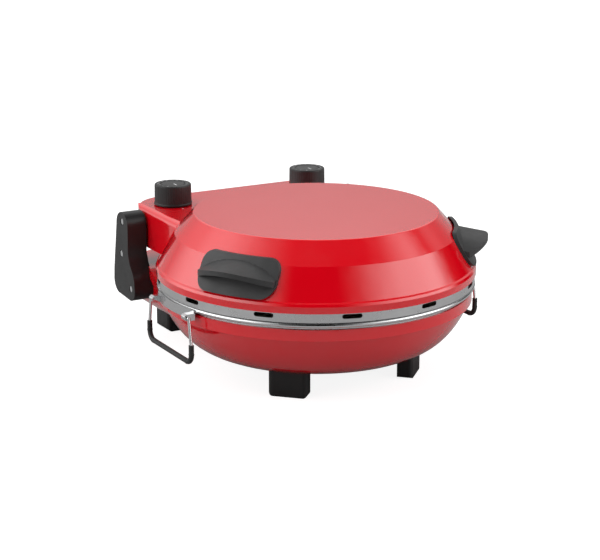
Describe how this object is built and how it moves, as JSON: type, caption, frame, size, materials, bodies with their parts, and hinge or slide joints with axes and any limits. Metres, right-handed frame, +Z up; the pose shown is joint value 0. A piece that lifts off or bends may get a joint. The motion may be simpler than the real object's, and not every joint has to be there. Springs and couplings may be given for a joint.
{
  "type": "electric pizza maker",
  "caption": "Round countertop electric pizza oven: hinged domed lid with visor handles, rear housing with control knobs, vented steel band and a baking stone in a pan with wire bails.",
  "frame": {"origin": "on the surface the oven stands on, under the axis of the round body", "axes": "+Z up, +Y to the rear (hinge side), +X to the oven's own right seen from behind the handles looking to the rear"},
  "size_m": [0.3622, 0.4105, 0.182],
  "materials": {
    "red_paint": "gloss enamel",
    "black_plastic": "satin",
    "bright_steel": "bright",
    "brushed_band": "brushed",
    "chrome_wire": "polished",
    "screw_steel": "plated",
    "bright_screw": "polished",
    "plated_steel": "zinc plated",
    "rear_plastic": "matte",
    "gland_rubber": "matte",
    "ceramic_body": "matte",
    "reflector_steel": "satin",
    "heater_tube": "heat-darkened",
    "baking_stone": "matte",
    "sleeve_plastic": "matte",
    "foot_plastic": "matte",
    "bush_brass": "satin",
    "timer_case": "satin",
    "knob_plastic": "satin",
    "knob_disc": "satin",
    "handle_plastic": "satin"
  },
  "bodies": {
    "base": {"base_shell": "red_paint", "base_bottom": "plated_steel", "bottom_screws": "screw_steel", "rear_cover": "rear_plastic", "rear_cover_screws": "screw_steel", "cord_gland": "gland_rubber", "terminal_block": "ceramic_body", "base_reflector": "reflector_steel", "lower_element": "heater_tube", "lower_clips": "plated_steel", "stone_pan": "bright_steel", "stone": "baking_stone", "bail_bracket_left": "bright_steel", "bail_bracket_right": "bright_steel", "foot_front_left": "foot_plastic", "foot_front_right": "foot_plastic", "foot_rear_left": "foot_plastic", "foot_rear_right": "foot_plastic", "foot_screws": "screw_steel", "arm_left": "black_plastic", "arm_right": "black_plastic", "arm_screws": "bright_screw", "hinge_bolts": "bright_screw", "hinge_nuts": "plated_steel"},
    "lid": {"hinge_bushes": "bush_brass", "lid_shell": "red_paint", "lid_rear_cover": "rear_plastic", "vent_band": "brushed_band", "lid_dome": "reflector_steel", "upper_element": "heater_tube", "upper_clips": "plated_steel", "thermostat": "ceramic_body", "timer": "timer_case", "control_nuts": "plated_steel", "handle_left": "handle_plastic", "handle_right": "handle_plastic", "handle_screws": "screw_steel"},
    "thermostat_knob": {"thermostat_shaft": "plated_steel", "knob_left": "knob_plastic", "knob_cap_left": "knob_disc"},
    "timer_knob": {"timer_shaft": "plated_steel", "knob_right": "knob_plastic", "knob_cap_right": "knob_disc"},
    "bail_left_swing": {"bail_left": "chrome_wire", "bail_sleeve_left": "sleeve_plastic"},
    "bail_right_swing": {"bail_right": "chrome_wire", "bail_sleeve_right": "sleeve_plastic"}
  },
  "joints": [
    {"name": "lid_hinge", "type": "hinge", "parent": "base", "child": "lid", "pos_m": [0, 0.181, 0.143], "axis": [-1, 0, 0], "range_deg": [0, 95]},
    {"name": "thermostat_turn", "type": "hinge", "parent": "lid", "child": "thermostat_knob", "pos_m": [-0.0883, 0.1753, 0.17], "axis": [0, 0, -1], "range_deg": [0, 270]},
    {"name": "timer_turn", "type": "hinge", "parent": "lid", "child": "timer_knob", "pos_m": [0.0883, 0.1753, 0.17], "axis": [0, 0, -1], "range_deg": [0, 300]},
    {"name": "bail_left_turn", "type": "hinge", "parent": "base", "child": "bail_left_swing", "pos_m": [-0.1775, 0, 0.092], "axis": [0, 1, 0], "range_deg": [-15, 170]},
    {"name": "bail_right_turn", "type": "hinge", "parent": "base", "child": "bail_right_swing", "pos_m": [0.1775, 0, 0.092], "axis": [0, -1, 0], "range_deg": [-15, 170]}
  ]
}
